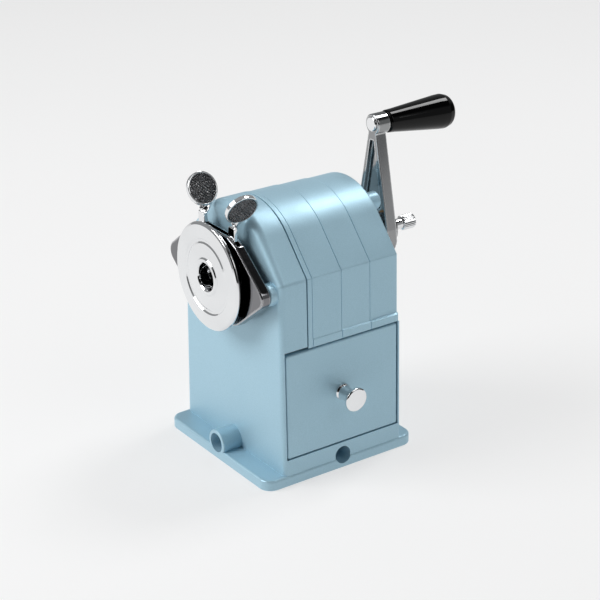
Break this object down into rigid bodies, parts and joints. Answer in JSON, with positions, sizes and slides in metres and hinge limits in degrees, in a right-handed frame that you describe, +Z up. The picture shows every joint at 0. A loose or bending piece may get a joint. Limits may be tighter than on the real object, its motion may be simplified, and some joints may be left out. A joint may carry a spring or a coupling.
{
  "type": "desk pencil sharpener",
  "caption": "Hand-cranked desk pencil sharpener: cast body with arched hood, spring feed chuck with pinch levers, side drawer, rear crank with tapered handle and point adjuster.",
  "frame": {"origin": "on the underside of the base, midway between the body's side walls and between its front and rear faces", "axes": "+Z up from the table, -Y the way the pencil leaves the chuck, +X the way the drawer opens"},
  "size_m": [0.0771, 0.1146, 0.1258],
  "materials": {
    "blue_paint": "satin metallic sky-blue paint",
    "black_steel": "matt black painted steel",
    "screw_steel": "zinc plated",
    "gear_steel": "oiled steel",
    "bush_brass": "turned bronze",
    "tray_steel": "folded sheet",
    "chrome_plate": "bright chrome plate",
    "rod_steel": "ground steel",
    "spring_steel": "spring wire",
    "cutter_steel": "hardened tool steel",
    "black_handle": "glossy black"
  },
  "bodies": {
    "housing": {"body_casting": "blue_paint", "base_plate": "black_steel", "base_screws": "screw_steel", "hood": "blue_paint", "hood_screws": "screw_steel", "ring_gear": "gear_steel", "bearing_flange": "screw_steel", "bearing_screws": "screw_steel", "bearing_bush": "bush_brass"},
    "drawer": {"drawer_tray": "tray_steel", "drawer_front": "blue_paint", "drawer_knob": "chrome_plate", "drawer_rivets": "screw_steel"},
    "chuck": {"chuck_disc": "chrome_plate", "chuck_body": "chrome_plate", "chuck_sleeve": "chrome_plate", "guide_rods": "rod_steel", "rod_clips": "screw_steel", "rod_spring_left": "spring_steel", "rod_spring_right": "spring_steel", "lever_pins": "rod_steel", "lever_spring": "spring_steel"},
    "left_lever": {"lever_left": "chrome_plate"},
    "right_lever": {"lever_right": "chrome_plate"},
    "crank": {"carrier": "gear_steel", "carrier_struts": "rod_steel", "shaft": "rod_steel", "crank_arm": "chrome_plate", "crank_pin": "screw_steel", "crank_axle": "chrome_plate"},
    "crank_handle": {"handle": "black_handle"},
    "adjuster": {"adjust_knob": "chrome_plate"},
    "stop_rod": {"adjust_rod": "rod_steel"},
    "cutter_shaft": {"cutter": "cutter_steel", "cutter_axle": "rod_steel", "pinion": "gear_steel", "pinion_washer": "screw_steel"}
  },
  "joints": [
    {"name": "drawer_slide", "type": "slide", "parent": "housing", "child": "drawer", "axis": [1, 0, 0], "range_m": [0, 0.045]},
    {"name": "chuck_slide", "type": "slide", "parent": "housing", "child": "chuck", "axis": [0, -1, 0], "range_m": [0, 0.022], "stiffness_N_per_m": 120, "springref_m": -0.02, "deforming": ["rod_spring_left", "rod_spring_right"]},
    {"name": "left_pinch", "type": "hinge", "parent": "chuck", "child": "left_lever", "pos_m": [-0.0096, -0.0321, 0.0899], "axis": [0, 1, 0], "range_deg": [0, 10], "stiffness_Nm_per_rad": 0.15, "springref_deg": -17.19},
    {"name": "right_pinch", "type": "hinge", "parent": "chuck", "child": "right_lever", "pos_m": [0.0096, -0.0321, 0.0899], "axis": [0, -1, 0], "range_deg": [0, 10], "stiffness_Nm_per_rad": 0.15, "springref_deg": -17.19},
    {"name": "crank_turn", "type": "hinge", "parent": "housing", "child": "crank", "pos_m": [0, 0.03, 0.0765], "axis": [0, 1, 0], "continuous": true},
    {"name": "handle_spin", "type": "hinge", "parent": "crank", "child": "crank_handle", "pos_m": [0, 0.0448, 0.1202], "axis": [0, 0.999, -0.0436], "continuous": true},
    {"name": "adjust_turn", "type": "hinge", "parent": "crank", "child": "adjuster", "pos_m": [0, 0.05, 0.0765], "axis": [0, 1, 0], "range_deg": [0, 720]},
    {"name": "stop_slide", "type": "slide", "parent": "crank", "child": "stop_rod", "axis": [0, 1, 0], "range_m": [0, 0.0016]},
    {"name": "cutter_spin", "type": "hinge", "parent": "crank", "child": "cutter_shaft", "pos_m": [0, -0.0205, 0.088], "axis": [0, 0.9848, -0.1736], "continuous": true}
  ],
  "couplings": [
    {"joint": "right_pinch", "follows": "left_pinch", "ratio": 1},
    {"joint": "adjust_turn", "follows": "stop_slide", "rad_per_m": 7854},
    {"joint": "cutter_spin", "follows": "crank_turn", "ratio": -3.5556}
  ]
}
